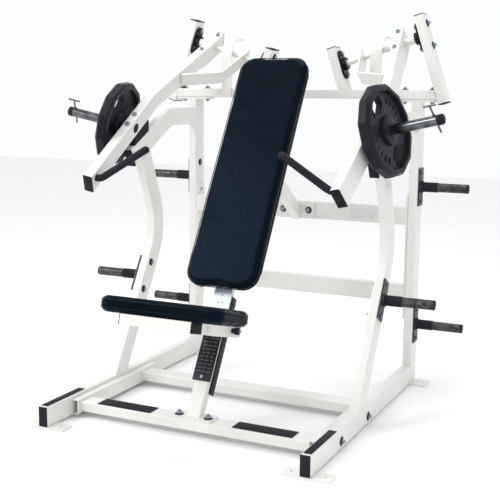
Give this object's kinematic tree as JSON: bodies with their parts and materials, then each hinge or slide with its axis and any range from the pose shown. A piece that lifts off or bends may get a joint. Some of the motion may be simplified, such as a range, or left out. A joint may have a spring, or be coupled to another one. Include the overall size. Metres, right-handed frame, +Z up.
{
  "type": "chest press machine",
  "caption": "Plate-loaded chest press machine with a welded tube frame, leaning back pad, height-adjustable seat and independent press arms with loading horns.",
  "frame": {"origin": "on the floor under the middle of the machine's bounding box", "axes": "+X to the machine's side, +Y to its back, +Z up"},
  "size_m": [2.0794, 1.7799, 2.0698],
  "materials": {
    "frame_paint": "glossy off-white powder coat",
    "black_rubber": "matte black rubber",
    "black_paint": "satin black",
    "worn_steel": "worn bare steel",
    "chrome": "polished chrome",
    "black_iron": "satin black enamel",
    "black_vinyl": "soft black vinyl"
  },
  "bodies": {
    "base": {"right_base_rail": "frame_paint", "left_base_rail": "frame_paint", "right_base_side_member": "frame_paint", "left_base_side_member": "frame_paint", "right_front_upright": "frame_paint", "left_front_upright": "frame_paint", "right_shoulder_tube": "frame_paint", "left_shoulder_tube": "frame_paint", "right_rear_upright": "frame_paint", "left_rear_upright": "frame_paint", "right_rear_side_plate": "frame_paint", "left_rear_side_plate": "frame_paint", "right_shaft_guard": "frame_paint", "left_shaft_guard": "frame_paint", "right_outer_tower": "frame_paint", "left_outer_tower": "frame_paint", "right_inner_tower": "frame_paint", "left_inner_tower": "frame_paint", "front_base_crossbar": "frame_paint", "rear_base_crossbar": "frame_paint", "upper_rear_crossbar": "frame_paint", "lower_rear_crossbar": "frame_paint", "top_beam": "frame_paint", "bench_post": "frame_paint", "back_brace": "frame_paint", "right_rail_end_cap": "black_rubber", "left_rail_end_cap": "black_rubber", "right_foot_grip_pad": "black_rubber", "left_foot_grip_pad": "black_rubber", "right_arm_bumper": "black_rubber", "left_arm_bumper": "black_rubber", "right_outer_bearing": "black_paint", "left_outer_bearing": "black_paint", "right_inner_bearing": "black_paint", "left_inner_bearing": "black_paint", "rack_strip": "black_paint", "instruction_plate": "black_paint", "back_pad_board": "black_paint", "right_front_storage_peg": "worn_steel", "left_front_storage_peg": "worn_steel", "right_low_storage_peg": "worn_steel", "left_low_storage_peg": "worn_steel", "right_high_storage_peg": "worn_steel", "left_high_storage_peg": "worn_steel", "back_pad": "black_vinyl"},
    "right_arm": {"right_press_arm": "frame_paint", "right_arm_shaft": "frame_paint", "right_grip": "black_rubber", "right_loading_horn": "chrome"},
    "right_plate": {"right_weight_plate": "black_iron"},
    "right_pin": {"right_retaining_pin": "chrome"},
    "left_arm": {"left_press_arm": "frame_paint", "left_arm_shaft": "frame_paint", "left_grip": "black_rubber", "left_loading_horn": "chrome"},
    "left_plate": {"left_weight_plate": "black_iron"},
    "left_pin": {"left_retaining_pin": "chrome"},
    "seat_carriage": {"seat_frame": "frame_paint", "seat_pad": "black_vinyl"},
    "seat_pin": {"pull_pin": "black_paint"}
  },
  "joints": [
    {"name": "right_arm_press", "type": "hinge", "parent": "base", "child": "right_arm", "pos_m": [0.583, 0.7802, 1.91], "axis": [-0.9511, 0, -0.309], "range_deg": [0, 45]},
    {"name": "right_plate_slide", "type": "slide", "parent": "right_arm", "child": "right_plate", "axis": [0.9646, -0.151, 0.2162], "range_m": [0, 0.215]},
    {"name": "right_pin_pull", "type": "slide", "parent": "right_arm", "child": "right_pin", "axis": [-0.2636, -0.5221, 0.8112], "range_m": [0, 0.15]},
    {"name": "left_arm_press", "type": "hinge", "parent": "base", "child": "left_arm", "pos_m": [-0.583, 0.7802, 1.91], "axis": [-0.9511, 0, 0.309], "range_deg": [0, 45]},
    {"name": "left_plate_slide", "type": "slide", "parent": "left_arm", "child": "left_plate", "axis": [-0.9646, -0.151, 0.2162], "range_m": [0, 0.215]},
    {"name": "left_pin_pull", "type": "slide", "parent": "left_arm", "child": "left_pin", "axis": [0.2636, -0.5221, 0.8112], "range_m": [0, 0.15]},
    {"name": "seat_height", "type": "slide", "parent": "base", "child": "seat_carriage", "axis": [0, 0.5075, 0.8616], "range_m": [-0.17, 0.14]},
    {"name": "seat_pin_pull", "type": "slide", "parent": "seat_carriage", "child": "seat_pin", "axis": [1, 0, 0], "range_m": [0, 0.012]}
  ]
}
